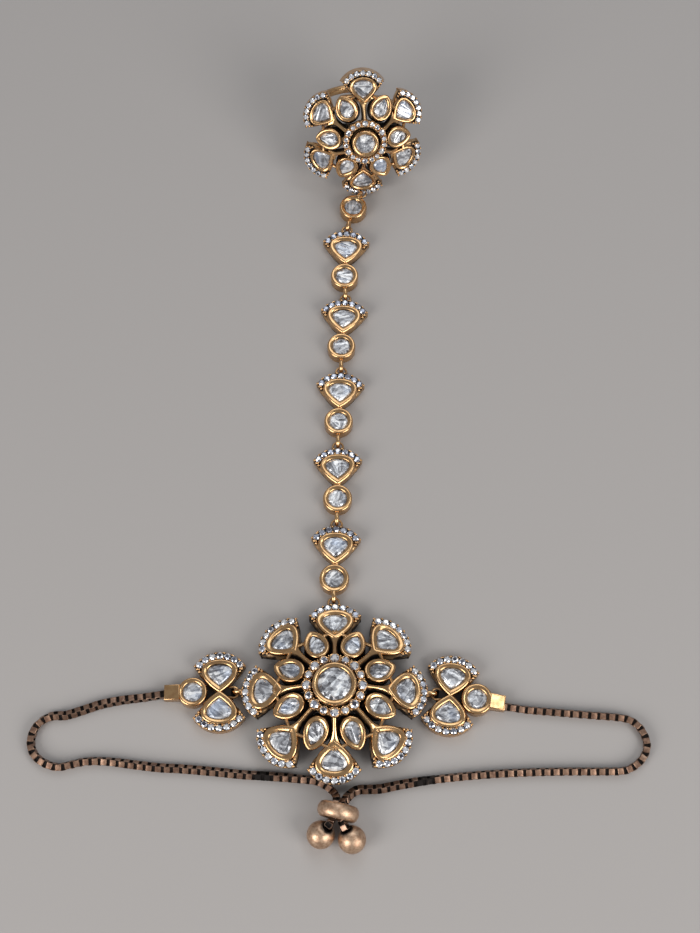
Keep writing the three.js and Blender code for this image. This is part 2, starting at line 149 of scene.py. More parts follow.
FLOWER = dict(
    petals=8, scale=1.02, hub=4.35, hub_rise=0.9, hub_depth=3.2, hub_seat=3.3, halo=6.2,
    halo_inner=4.6, halo_mid=5.41, stones=((0.9, 0.0), (0.74, 0.5)), petal_radii=(13.85, 14.35),
    petal_height=-3.67, petal_tip=15, petal_depth=2.7, pear_radius=9.8, pear_height=-2.3,
    pear_tip=20, pear=(4.9, 7.0), pear_seat=(3.1, 4.7), pear_depth=2.4, spoke=0.33,
    bar=(10.5, 1.5), bezel=1.07, wall=0.9, flare=(0.0,), skirt=0.38,
)
RING = dict(
    petals=6, scale=0.88, hub=2.95, hub_rise=1.0, hub_depth=3.4, hub_seat=2.15, halo=4.95,
    halo_inner=3.25, halo_mid=4.2, stones=((0.68, 0.0), (0.54, 0.35), (0.54, 0.65)),
    petal_radii=(10.45, 10.45), petal_height=-4.5, petal_tip=16, petal_depth=2.5,
    pear_radius=7.85, pear_height=-2.9, pear_tip=20, pear=(4.85, 6.0), pear_seat=(3.0, 4.1),
    pear_depth=2.3, spoke=0.32, bar=(8.4, 0.7), bezel=0.97, wall=0.3,
    flare=(0.62, 0.22, 0.15, 0.05, 0.15, 0.12), skirt=0.25,
)
SHANK = dict(
    half=9.6, deep=10.8, top=-4.2, offset=1.5, tip=7, width=1.75, thick=1.25, aside=-2.4,
)
SLIDER = dict(radius=2.97, thick=1.08, stretch=1.4)
MOUTH = dict(radius=1.1, depth=0.9)

# Where each piece's random facets start.
SEEDS = dict(
    flower=101, ring=701, first_round=31, link_arcs=40, link_fans=51, link_rounds=61,
    station_arcs=80, station_fans=91, station_rounds=97,
)
# How strongly the small stones lean to their dark facets: painted shade that makes the stations'
# and the links' stones darker than the heads'.
HEAD_SHADE, STATION_SHADE, LINK_SHADE = 0.55, 0.9, 1.8

# The stage is in metres, watts and radians: name, place, side, power and tint of each lamp.
LAMPS = [
    ("left", (-0.42, -0.38, 0.34), 0.36, 2.6, (1.0, 0.98, 0.95)),
    ("right", (0.42, -0.38, 0.34), 0.36, 2.5, (1.0, 0.98, 0.95)),
    ("back", (0.05, 0.50, 0.62), 0.50, 1.3, (0.94, 0.97, 1.0)),
    ("sheen", (0.25, 0.10, 0.60), 0.16, 0.3, (0.94, 1.0, 1.0)),
]
LAMP_AIM = (0, -0.02, 0)
SKY = (0.62, 0.63, 0.66, 1)
SKY_STRENGTH = 0.46
TABLE_SIDE = 9.0
CAMERA = dict(lens=59.66, elevation=1.1813, away=0.32586)


def rad(angle):
    return math.radians(angle)


# --- shapes as arrays ---


class Stock:
    """Vertices in millimetres, faces, and how dark each vertex is painted: tarnish of the blackened
    metal, and painted shade in recesses, holes and gaps.
    """

    def __init__(self, points, faces, tarnish_and_shade):
        self.points = np.asarray(points, float)
        self.faces = faces
        self.tarnish_and_shade = np.asarray(tarnish_and_shade, float)

    def placed(self, matrix):
        m = np.array(matrix)
        return Stock(self.points @ m[:3, :3].T + m[:3, 3], self.faces, self.tarnish_and_shade)


def joined(stocks):
    points, faces, tarnish_and_shade, start = [], [], [], 0
    for stock in stocks:
        points.append(stock.points)
        tarnish_and_shade.append(stock.tarnish_and_shade)
        faces.extend(tuple(i + start for i in face) for face in stock.faces)
        start += len(stock.points)
    return Stock(np.concatenate(points), faces, np.concatenate(tarnish_and_shade))


def read_stock(tarnish_and_shade=0.0):
    """Takes the active object's mesh as a stock, faces in a fixed order, and removes the object."""
    obj = bpy.context.object
    mesh = obj.data
    count = len(mesh.vertices)
    points = np.zeros(count * 3)
    mesh.vertices.foreach_get("co", points)
    faces = []
    for face in mesh.polygons:
        ring = list(face.vertices)
        first = ring.index(min(ring))
        faces.append(tuple(ring[first:] + ring[:first]))
    faces.sort()
    bpy.data.objects.remove(obj)
    bpy.data.meshes.remove(mesh)
    return Stock(points.reshape(-1, 3), faces, np.broadcast_to(tarnish_and_shade, count).copy())


def deselect():
    for obj in bpy.context.selected_objects:
        obj.select_set(False)


@contextlib.contextmanager
def editing():
    """Edit mode with all of the active object selected. Gives its bmesh."""
    bpy.ops.object.mode_set(mode="EDIT")
    bpy.ops.mesh.select_all(action="SELECT")
    yield bmesh.from_edit_mesh(bpy.context.object.data)
    bpy.ops.object.mode_set(mode="OBJECT")


def face_outwards():
    bpy.ops.mesh.select_all(action="SELECT")
    bpy.ops.mesh.normals_make_consistent(inside=False)


def loft(rings, tarnish_and_shade):
    """Extrudes a face through a list of closed outlines of as many points each."""
    count = len(rings[0])
    deselect()
    bpy.ops.mesh.primitive_circle_add(vertices=count, radius=1, fill_type="NGON")
    mesh = bpy.context.object.data
    with editing() as shape:
        for vertex, point in zip(shape.verts, rings[0]):
            vertex.co = point
        for ring in rings[1:]:
            before = len(shape.verts)
            bpy.ops.mesh.extrude_region_move()
            shape = bmesh.from_edit_mesh(mesh)
            shape.verts.ensure_lookup_table()
            for i, point in enumerate(ring):
                shape.verts[before + i].co = point
        bmesh.update_edit_mesh(mesh)
        face_outwards()
    shade = np.asarray(tarnish_and_shade, float).reshape(len(rings), -1)
    return read_stock(np.broadcast_to(shade, (len(rings), count)).reshape(-1))


def bead(radius, segments=8, rings=6):
    deselect()
    bpy.ops.mesh.primitive_uv_sphere_add(segments=segments, ring_count=rings, radius=radius)
    with editing():
        bpy.ops.transform.resize(value=(1, 1, 0.85))
    return read_stock()


def torus(radius, wire, major, minor, tarnish_and_shade, stretch=(1, 1, 1), standing=False):
    deselect()
    bpy.ops.mesh.primitive_torus_add(
        major_radius=radius, minor_radius=wire, major_segments=major, minor_segments=minor
    )
    with editing():
        if standing:
            bpy.ops.transform.rotate(value=rad(90), orient_axis="Y", center_override=(0, 0, 0))
        bpy.ops.transform.resize(value=stretch)
    return read_stock(tarnish_and_shade)


# --- outlines ---


def drop(width, height, slide=0.0, sharpness=1.0, count=32):
    """A drop outline with its point towards -Y. A lower sharpness is rounder."""
    angles = 2 * np.pi * np.arange(count) / count
    raw = np.sin(angles) * np.sin(angles / 2) ** sharpness
    x = width / 2 * raw / raw.max()
    return np.stack([x, slide - height / 2 * np.cos(angles)], 1)


def circle(radius, count=32):
    angles = 2 * np.pi * np.arange(count) / count
    return np.stack([radius * np.cos(angles), radius * np.sin(angles)], 1)


def mirrored(half, *middle):
    """A section from one side's points, any in the middle, and the other side's in turn."""
    return half + list(middle) + [(-x, *rest) for x, *rest in reversed(half)]


def at_height(outline, z):
    return np.column_stack([outline, np.full(len(outline), z)])


def stacked(levels, outline_at):
    """A loft through levels of outline size, height, and tarnish and painted shade."""
    rings = [at_height(outline_at(size), z) for size, z, _ in levels]
    return loft(rings, [dark for _, _, dark in levels])


# A rim's section from the outer wall to the seat: share of the way in, height, and tarnish and
# shade. The inner wall goes black down to the seat and the outer wall's foot is dark, blackened
# metal and painted shade; the top is faintly darker past its crest, painted shade.
RIM = [
    (0.0, -0.9, 0.3), (0.0, -0.55, 0.1), (0.02, -0.36, 0.0), (0.07, -0.2, 0.0), (0.15, -0.08, 0.0),
    (0.26, -0.015, 0.0), (0.4, 0.0, 0.0), (0.56, -0.03, 0.05), (0.7, -0.08, 0.08),
    (0.8, -0.12, 0.0), (0.88, -0.16, 0.0), (0.95, -0.24, 0.0), (1.0, -0.38, 0.25),
    (1.0, -0.5, 0.9), (1.0, -0.95, 1.0),
]


def bezel(outline_at, depth, foot=0.75):
    """A cast bezel. outline_at takes a share of the way in, 0 outside and 1 at the seat."""
    return stacked([(0.02, -depth, foot)] + RIM, outline_at)


def between(a, b, share):
    return a + (b - a) * share


def fan_outline(size):
    def outline(share):
        width = between(FAN["width"] * size, FAN["seat"][0], share)
        height = between(FAN["height"] * size, FAN["seat"][1], share)
        return drop(width, height, between(-0.2, 0.0, share), between(0.85, 1.0, share))

    return outline


def round_bezel(radius, seat, depth, foot):
    return bezel(lambda share: circle(between(radius, seat, share)), depth, foot)


def pear_outline(outer, seat):
    def outline(share):
        sharp = between(0.27, 0.55, share)
        return drop(between(outer[0], seat[0], share), between(outer[1], seat[1], share), 0, sharp)

    return outline


# --- placements ---


def turn(axis, angle):
    return Matrix.Rotation(rad(angle), 4, axis)


def shift(x, y, z=0.0):
    return Matrix.Translation((x, y, z))


def on_table(x, y, heading, z=0.0):
    return shift(x, y, z) @ turn("Z", -heading)


def on_head(bearing, radius, height, tip, scale=1.0):
    size = Matrix.Diagonal((scale, scale, 1, 1))
    return turn("Z", -bearing) @ shift(0, radius, height) @ turn("X", -tip) @ size


def layout_zero():
    """Where the layout's zero stands in the frame, in metres, read from the ring's jump ring."""
    low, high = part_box("jump_ring_1")
    middle = (low + high) / 2
    return Vector((middle.x - RING_JUMP[0] * MM, middle.y - RING_JUMP[1] * MM, 0.0))


ZERO = layout_zero()


# --- pieces ---


def make_piece(name, stock, material, nodes, facets=None, crease=48):
    """Makes a finished mesh from a stock, in the frame's metres, and ties it to the frame."""
    mesh = bpy.data.meshes.new(name)
    points = stock.points * MM + np.array(ZERO)
    mesh.from_pydata(points.tolist(), [], stock.faces)
    mesh.update()
    layer = mesh.attributes.new("tarnish_and_shade", "FLOAT", "POINT")
    layer.data.foreach_set("value", stock.tarnish_and_shade.astype(np.float32))
    if facets is not None:
        shade = mesh.attributes.new("facet", "FLOAT", "FACE")
        shade.data.foreach_set("value", np.asarray(facets, np.float32))
    obj = bpy.data.objects.new(name, mesh)
    bpy.context.scene.collection.objects.link(obj)
    mesh.materials.append(material)
    deselect()
    obj.select_set(True)
    bpy.context.view_layer.objects.active = obj
    if facets is not None:
        bpy.ops.object.shade_flat()
    else:
        bpy.ops.object.shade_smooth_by_angle(angle=rad(crease))
    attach(obj, BODY)
    if nodes:
        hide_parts(*nodes)


# --- materials ---


def plug(tree, socket, value):
    """Sets an input socket to a value, or links it to another node's output."""
    if isinstance(value, bpy.types.NodeSocket):
        tree.links.new(value, socket)
    else:
        socket.default_value = value


def node(tree, kind, inputs=None, **settings):
    made = tree.nodes.new(kind)
    for key, value in settings.items():
        setattr(made, key, value)
    for key, value in (inputs or {}).items():
        plug(tree, made.inputs[key], value)
    return made


def ramp(tree, fac, stops):
    made = node(tree, "ShaderNodeValToRGB", {"Fac": fac})
    ends = made.color_ramp.elements
    for element, (position, color) in zip(ends, (stops[0], stops[-1])):
        element.position = position
        element.color = color
    for position, color in stops[1:-1]:
        ends.new(position).color = color
    return made.outputs["Color"]


def mapped(tree, value, low, high, from_low=0.0, from_high=1.0):
    inputs = {0: value, 1: from_low, 2: from_high, 3: low, 4: high}
    return node(tree, "ShaderNodeMapRange", inputs, clamp=True).outputs[0]


def mixed(tree, fac, a, b):
    return node(tree, "ShaderNodeMix", {0: fac, 6: a, 7: b}, data_type="RGBA").outputs[2]


def reckon(tree, operation, *values):
    return node(tree, "ShaderNodeMath", dict(enumerate(values)), operation=operation).outputs[0]


def place_of(tree):
    return node(tree, "ShaderNodeTexCoord").outputs["Object"]


def noise(tree, where, scale, detail):
    return node(tree, "ShaderNodeTexNoise", {"Vector": where, "Scale": scale, "Detail": detail})


def attribute(tree, name):
    return node(tree, "ShaderNodeAttribute", attribute_name=name).outputs["Fac"]


def bump(tree, strength, distance, height):
    inputs = {"Strength": strength, "Distance": distance, "Height": height}
    return node(tree, "ShaderNodeBump", inputs).outputs["Normal"]


def new_tree(name):
    made = bpy.data.materials.new(name)
    made.use_nodes = True
    made.node_tree.nodes.clear()
    return made.node_tree


def surface(tree, inputs):
    shader = node(tree, "ShaderNodeBsdfPrincipled", inputs)
    node(tree, "ShaderNodeOutputMaterial", {"Surface": shader.outputs[0]})


def aged_shaded_metal_group():
    """Cast metal: a polished colour, a duller one in patches, and black in the tarnished places and
    as painted shade in recesses, holes and gaps.
    """
    group = bpy.data.node_groups.new("aged_shaded_metal", "ShaderNodeTree")
    sockets = {
        ("INPUT", "NodeSocketColor"): ("Polished", "Dull", "Black"),
        ("INPUT", "NodeSocketFloat"): ("Tarnish And Shade", "Rough", "Black Rough", "Wear"),
        ("OUTPUT", "NodeSocketColor"): ("Color",),
        ("OUTPUT", "NodeSocketFloat"): ("Roughness", "Metallic", "Shine", "Coat", "Height"),
    }
    for (side, kind), names in sockets.items():
        for name in names:
            group.interface.new_socket(name, in_out=side, socket_type=kind)
    source = group.nodes.new("NodeGroupInput").outputs
    where = place_of(group)
    patches = noise(group, where, 900.0, 4.0).outputs["Fac"]
    grain = noise(group, where, 1700.0, 2.0).outputs["Fac"]
    worn = reckon(group, "MULTIPLY_ADD", grain, source["Wear"], patches)
    middle = reckon(group, "MULTIPLY_ADD", source["Wear"], 0.5, 0.38)
    top = reckon(group, "ADD", middle, 0.28)
    patch = mapped(group, worn, 0.0, 1.0, middle, top)
    body = mixed(group, patch, source["Polished"], source["Dull"])
    uneven = reckon(group, "SUBTRACT", patches, 0.5)
    reach = reckon(group, "MULTIPLY_ADD", uneven, 0.7, source["Tarnish And Shade"])
    black = mapped(group, reach, 0.0, 1.0, 0.22, 0.82)
    satin = mapped(group, patches, -0.04, 0.06, 0.3, 0.7)
    rough = reckon(group, "ADD", satin, source["Rough"])
    node(group, "NodeGroupOutput", {
        "Color": mixed(group, black, body, source["Black"]),
        "Roughness": reckon(group, "MULTIPLY_ADD", black, source["Black Rough"], rough),
        "Metallic": mapped(group, black, 1.0, 0.3),
        "Shine": mapped(group, black, 0.5, 0.2),
        "Coat": mapped(group, black, 0.2, 0.0),
        "Height": grain,
    })
    return group


def metal(name, polished, dull, roughness, relief, wear):
    tree = new_tree(name)
    group = bpy.data.node_groups.get("aged_shaded_metal") or aged_shaded_metal_group()
    aged_shaded = node(tree, "ShaderNodeGroup", {
        "Polished": polished, "Dull": dull, "Black": bpy.context.scene.harness_colours.oxide_and_shade,
        "Tarnish And Shade": attribute(tree, "tarnish_and_shade"), "Rough": roughness, "Black Rough": 0.25,
        "Wear": wear,
    }, node_tree=group).outputs
    surface(tree, {
        "Base Color": aged_shaded["Color"], "Roughness": aged_shaded["Roughness"], "Metallic": aged_shaded["Metallic"],
        "Specular IOR Level": aged_shaded["Shine"], "Coat Weight": aged_shaded["Coat"], "Coat Roughness": 0.15,
        "Normal": bump(tree, relief, 0.00005, aged_shaded["Height"]),
    })


def uncut_stone():
    """A flat uncut stone on foil: uneven grey and white shards with a little blue, painted glints
    and reflections of the foil, and a wet shine.
    """
    tree = new_tree("uncut_stone")
    where = place_of(tree)
    drift = noise(tree, where, 420.0, 1.0).outputs["Color"]
    bent = node(
        tree, "ShaderNodeVectorMath", {0: drift, 1: (0.0022,) * 3, 2: where},
        operation="MULTIPLY_ADD",
    ).outputs[0]
    long = node(
        tree, "ShaderNodeMapping",
        {"Vector": bent, "Rotation": (0, 0, 0.6), "Scale": (1.0, 2.1, 1.0)},
    ).outputs[0]
    shards = node(tree, "ShaderNodeTexVoronoi", {"Vector": long, "Scale": 620.0}).outputs
    chips = node(tree, "ShaderNodeTexVoronoi", {"Vector": bent, "Scale": 1500.0}).outputs
    shard = node(tree, "ShaderNodeSeparateColor", {0: shards["Color"]}).outputs[0]
    chip = node(tree, "ShaderNodeSeparateColor", {0: chips["Color"]}).outputs[1]
    tint = noise(tree, where, 140.0, 2.0).outputs["Fac"]
    tone = reckon(tree, "MULTIPLY", chip, 0.3)
    tone = reckon(tree, "MULTIPLY_ADD", attribute(tree, "facet"), 0.42, tone)
    tone = reckon(tree, "MULTIPLY_ADD", shard, 0.4, tone)
    greys = ramp(tree, tone, [
        (0.2, (0.08, 0.08, 0.09, 1)), (0.4, (0.20, 0.203, 0.22, 1)),
        (0.58, (0.36, 0.37, 0.40, 1)), (0.72, (0.60, 0.62, 0.65, 1)), (0.9, (0.88, 0.88, 0.88, 1)),
    ])
    blue = mapped(tree, tint, 0.0, 0.3, 0.54, 0.7)
    surface(tree, {
        "Base Color": mixed(tree, blue, greys, (0.52, 0.66, 0.92, 1)), "Metallic": 0.35,
        "Roughness": mapped(tree, chip, 0.1, 0.4), "Coat Weight": 1.0, "Coat Roughness": 0.04,
        "Normal": bump(tree, 0.35, 0.0002, shards["Distance"]),
    })


def cut_stone():
    """A small cut stone: each facet its own brightness, painted glints and dark reflections."""
    tree = new_tree("cut_stone")
    facet = attribute(tree, "facet")
    tone = ramp(tree, facet, [
        (0.0, (0.05, 0.05, 0.07, 1)), (0.25, (0.30, 0.33, 0.42, 1)),
        (0.5, (0.70, 0.75, 0.86, 1)), (0.8, (1, 1, 1, 1)),
    ])
    surface(tree, {
        "Base Color": tone, "Roughness": mapped(tree, facet, 0.2, 0.05), "Metallic": 0.7,
        "Coat Weight": 1.0, "Coat Roughness": 0.02,
    })


def finish(name):
    """One of the harness's materials. All are made the first time that one is asked for."""
    if "antique_gold" not in bpy.data.materials:
        colours = bpy.context.scene.harness_colours
        metal("antique_gold", colours.gold, colours.gold_dull, 0.19, 0.1, 0.0)
        metal("rose_gold", colours.chain, colours.chain_dull, 0.42, 0.3, 0.6)
        metal("satin_gold", colours.satin, colours.satin_dull, 0.43, 0.6, 1.4)
        uncut_stone()
        cut_stone()
    return bpy.data.materials[name]


def make_gold(name, stocks, *nodes):
    make_piece(name, joined(stocks), finish("antique_gold"), nodes)


# --- stones ---


def gem_stock(outline, seed, rise):
    """An uncut stone: uneven facets over an outline, and a brightness for each facet, a painted
    glint.
    """
    chance = np.random.RandomState(seed)
    count = len(outline)
    middle = outline.mean(0)
    rings = []
    for scale, height, wander in ((1.0, 0.0, 0.0), (0.98, 0.3, 0.0), (0.78, 0.8, 0.09)):
        reach = scale + wander * chance.uniform(-1, 1, (count, 1))
        ring = middle + (outline - middle) * reach
        lift = height + wander * 2.2 * chance.uniform(-1, 1, count)
        rings.append(np.column_stack([ring, GEM_FOOT + rise * lift]))
    stock = loft(rings, np.zeros(len(rings)))
    top = max(range(len(stock.faces)), key=lambda i: stock.points[list(stock.faces[i]), 2].min())
    faces = []
    for i, face in enumerate(stock.faces):
        if i == top:
            ring = list(face)
            turned = chance.randint(count)
            ring = ring[turned:] + ring[:turned]
            while len(ring) > 2:
                if chance.rand() < 0.5:
                    faces.append((ring[-1], ring[0], ring[1]))
                    ring.pop(0)
                else:
                    faces.append((ring[-2], ring[-1], ring[0]))
                    ring.pop()
        elif len(face) == 4:
            a, b, c, d = face
            faces += [(a, b, c), (a, c, d)] if chance.rand() < 0.5 else [(a, b, d), (b, c, d)]
        else:
            faces.append(face)
    return Stock(stock.points, faces, stock.tarnish_and_shade), chance.uniform(0, 1, len(faces))


def set_gem(name, outline, place, seed, *nodes, rise=GEM_RISE):
    stock, facets = gem_stock(outline, seed, rise)
    make_piece(name, stock.placed(place), finish("uncut_stone"), nodes, facets)


def brilliant():
    """A round cut stone of radius 1 with its girdle at zero: crown, star facets and table."""
    crown = circle(0.76, 16)[1::2]
    points = np.vstack([at_height(circle(1.0, 8), -0.25), at_height(circle(1.0, 8), 0.0),
                        at_height(crown, 0.26), at_height(circle(0.5, 8), 0.4)])
    faces = []
    for i in range(8):
        j = (i + 1) % 8
        faces += [(i, j, 8 + j, 8 + i), (8 + i, 8 + j, 16 + i), (8 + j, 24 + j, 16 + i),
                  (24 + j, 24 + i, 16 + i), (24 + i, 8 + i, 16 + i)]
    faces.append(tuple(range(24, 32)))
    return Stock(points, faces, np.zeros(len(points)))


def set_cut_stones(name, places, seed, shade):
    """Copies of the cut stone at (matrix, radius) places, as one piece."""
    chance = np.random.RandomState(seed)
    pattern = brilliant()
    stocks = []
    facets = []
    for place, radius in places:
        spin = turn("Z", chance.uniform(0, 45))
        size = Matrix.Diagonal((radius, radius, radius, 1))
        stocks.append(pattern.placed(place @ spin @ size))
        # Each facet gets a random brightness, a painted glint or dark reflection.
        facets.append(chance.beta(0.7, shade, len(pattern.faces)))
    stones = joined(stocks)
    make_piece(name, stones, finish("cut_stone"), (), np.concatenate(facets))


# --- fans, rounds and pears ---

ARC_CENTRE = -1.43
ARC_STEP = rad(16.2)
ARC_STONES = [ARC_STEP * step for step in range(-3, 4)]
ARC_MIDDLE = 5.36
ARC_STONE = 0.72
ARC_TOP = ARC_CENTRE + 6.2
END_GRAINS = [(4.05, 0.75), (4.45, 1.3), (4.7, 1.95)]


def on_arc(angle, radius, z=0.0):
    return (radius * math.sin(angle), ARC_CENTRE + radius * math.cos(angle), z)


def fan_base(depth, wall):
    """The fan-shaped plate that carries the bezel and the paved arc. Its walls and the pocket by
    the arc are dark, blackened metal and painted shade.
    """
    arc = [on_arc(rad(angle), 6.0)[:2] for angle in np.linspace(52, -52, 21)]
    side = [(0.6, -3.2), (2.55, -1.45), (3.95, 0.05), (4.35, 0.65), (4.85, 1.5)]
    outline = np.array(mirrored(side, *arc))
    pocket = np.interp(outline[:, 1], [-0.2, 0.9], [0.0, 1.0])
    even = np.ones(len(outline))
    levels = [
        (0.96, -depth, even), (1.0, -depth + 0.25, even * wall), (1.0, -1.35, even * wall * 0.8),
        (0.97, -1.15, np.maximum(wall * 0.7, pocket)), (0.8, -0.8, np.maximum(0.45, pocket)),
        (0.6, -0.8, even),
    ]
    return stacked(levels, lambda size: outline * size)


def fan_arc(depth, wall, flare):
    """The raised arc that the small stones stand on, black at its foot and under the stones:
    blackened metal and painted shade.
    """
    section = [
        (4.5, -depth, 1.0), (6.08 + flare, -depth, wall), (6.14, -0.75, wall * 0.6),
        (6.09, -0.42, 0.1), (6.0, -0.35, 0.15), (5.9, -0.44, 0.8), (4.76, -0.48, 1.0),
        (4.6, -0.58, 1.0),
    ]
    rings = []
    for angle in np.linspace(-57, 57, 25):
        rings.append([on_arc(rad(angle), r, z) for r, z, _ in section])
    return loft(rings, [[dark for _, _, dark in section]] * len(rings))


def fan_metal(depth, size, wall=0.4, flare=0.0):
    """A fan's bezel, plate and arc, with the grains and prongs that hold its small stones. wall
    sets how dark its walls are, blackened metal and painted shade.
    """
    grain = bead(0.3, 10, 8)
    prong = bead(0.2)
    grain.tarnish_and_shade += 0.2
    prong.tarnish_and_shade += 0.2
    stocks = [bezel(fan_outline(size), depth), fan_base(depth, wall), fan_arc(depth, wall, flare)]
    for x, y in END_GRAINS:
        stocks += [grain.placed(shift(x, y, -0.5)), grain.placed(shift(-x, y, -0.5))]
    for step in range(-4, 4):
        angle = ARC_STEP * (step + 0.5)
        stocks.append(prong.placed(shift(*on_arc(angle, 5.95, -0.24))))
        stocks.append(prong.placed(shift(*on_arc(angle, 4.86, -0.32))))
    return joined(stocks)


def fan_stone_places(place):
    spots = [shift(*on_arc(angle, ARC_MIDDLE, -0.3)) for angle in ARC_STONES]
    return [(place @ spot, ARC_STONE) for spot in spots]


def fan_gem():
    return drop(*FAN["gem"], count=18)


def round_gem():
    return circle(ROUND_GEM, 16)


def round_metal(radius):
    return round_bezel(radius, ROUND_SEAT, LINK_DEPTH, 0.45)


# --- flower heads ---


def halo_metal(size):
    """The plate round the hub that carries its small settings, black below and inside as blackened
    metal and painted shade.
    """
    inner, outer = size["halo_inner"], size["halo"]
    levels = [
        (inner, -2.4, 1.0), (outer - 0.45, -2.4, 0.8), (outer - 0.3, -0.7, 0.4),
        (outer - 0.35, -0.5, 0.35), (inner + 0.1, -0.5, 0.75), (inner, -0.62, 1.0),
        (inner - 0.02, -2.3, 1.0),
    ]
    return stacked(levels, lambda radius: circle(radius, 48))


# A cup for a small stone, black at its foot and inside: blackened metal and painted shade.
def cup(radius):
    levels = [
        (radius * 0.8, -1.7, 1.0), (radius, -0.9, 0.6), (radius, -0.34, 0.1),
        (radius - 0.07, -0.26, 0.0), (radius - 0.17, -0.32, 0.2), (radius - 0.19, -0.7, 1.0),
    ]
    return stacked(levels, lambda around: circle(around, 14))


def halo_spots(size):
    """Bearing, stone radius for each small stone of the halo."""
    step = 360 / size["petals"]
    for petal in range(size["petals"]):
        for radius, share in size["stones"]:
            yield (petal + share) * step, radius


# Half width of a spoke, as a share of its narrow part, by share of the way to the petal's tip.
SPOKE_WIDTHS = [
    (0, 1.4), (0.1, 1.05), (0.5, 1.0), (0.66, 1.08), (0.78, 1.3), (0.88, 1.7), (0.96, 2.2),
    (1.04, 3.0), (1.12, 3.9), (1.22, 4.9),
]


def spoke_metal(size, radius):
    """A spoke from the halo out to a petal's tip, flaring where it meets the bezel. Its foot widens
    into a black skirt that fills the gap beside it: painted shade, with the blackened walls.
    """
    reach = FAN["tip"] * size["scale"]
    tip = rad(size["petal_tip"])
    tip_height = size["petal_height"] + reach * math.sin(tip)
    start = size["halo"] - 0.5
    span = radius - reach * math.cos(tip) - start
    slope = (tip_height + 0.4) / span
    rings = []
    for along, share in SPOKE_WIDTHS:
        y = start + span * along
        past = max(along - 1, 0) * span
        sink = 0.06 + 0.3 * past if along > 0.95 else 0.0
        top = -0.4 + slope * span * min(along, 1) - past * math.tan(tip) - sink
        w = size["spoke"] * share
        low = max(top - 2.0, -6.2)
        base = w + size["skirt"]
        half = [(base, low), (base, low + 0.7), (w * 0.98, top - 0.42), (w * 0.9, top - 0.14),
                (w * 0.5, top - 0.03)]
        rings.append(mirrored([(x, y, z) for x, z in half], (0, y, top)))
    dark = [1.0, 1.0, 0.7, 0.1, 0.0, 0.0, 0.0, 0.1, 0.7, 1.0, 1.0]
    return loft(rings, [dark] * len(rings))


def pear_skirt(size):
    """The black foot of a pear setting, wider on the side of the hub: it fills the gaps by the hub
    as painted shade, with the blackened walls.
    """
    outline = drop(*size["pear"], sharpness=0.27)
    side = np.clip((outline[:, 1:] + 1.6) / 1.8, 0, 1)
    reach = np.linalg.norm(outline, axis=1, keepdims=True)
    wide = outline * (1 + side * size["skirt"] / reach)
    depth = size["pear_depth"]
    rings = [at_height(outline * 0.9, -depth), at_height(wide * 0.98, -depth),
             at_height(wide, -depth + 0.5), at_height(outline * 0.99, -0.75),
             at_height(outline * 0.9, -0.75)]
    return loft(rings, [1.0, 1.0, 1.0, 0.85, 1.0])


def bar_metal(length):
    """A short bar between a pear and the petal beside it, along X."""
    rings = []
    for x in (0, length * 0.25, length * 0.75, length):
        thick = 0.42 if x in (0, length) else 0.34
        angles = np.linspace(0, 2 * np.pi, 8, endpoint=False)
        rings.append([(x, thick * math.cos(a), -0.7 + 1.3 * thick * math.sin(a)) for a in angles])
    return loft(rings, [0.45] * len(rings))


def hub(size):
    """The metal of the hub and its halo, and where the halo's stones go."""
    rise = size["hub_rise"]
    rim = round_bezel(size["hub"], size["hub_seat"], size["hub_depth"] + rise, 1.0)
    stocks = [rim.placed(shift(0, 0, rise)), halo_metal(size)]
    cups = {radius: cup(radius + 0.17) for radius, _ in size["stones"]}
    prong = bead(0.17)
    paved = []
    spots = sorted(halo_spots(size))
    for bearing, radius in spots:
        spot = turn("Z", -bearing) @ shift(0, size["halo_mid"])
        stocks.append(cups[radius].placed(spot))
        paved.append((spot @ shift(0, 0, -0.24), radius))
    bearings = [bearing for bearing, _ in spots]
    for first, second in zip(bearings, bearings[1:] + [bearings[0] + 360]):
        middle = turn("Z", -(first + second) / 2)
        for radius in (size["halo_mid"] + 0.55, size["halo_mid"] - 0.55):
            stocks.append(prong.placed(middle @ shift(0, radius, -0.18)))
    return stocks, paved


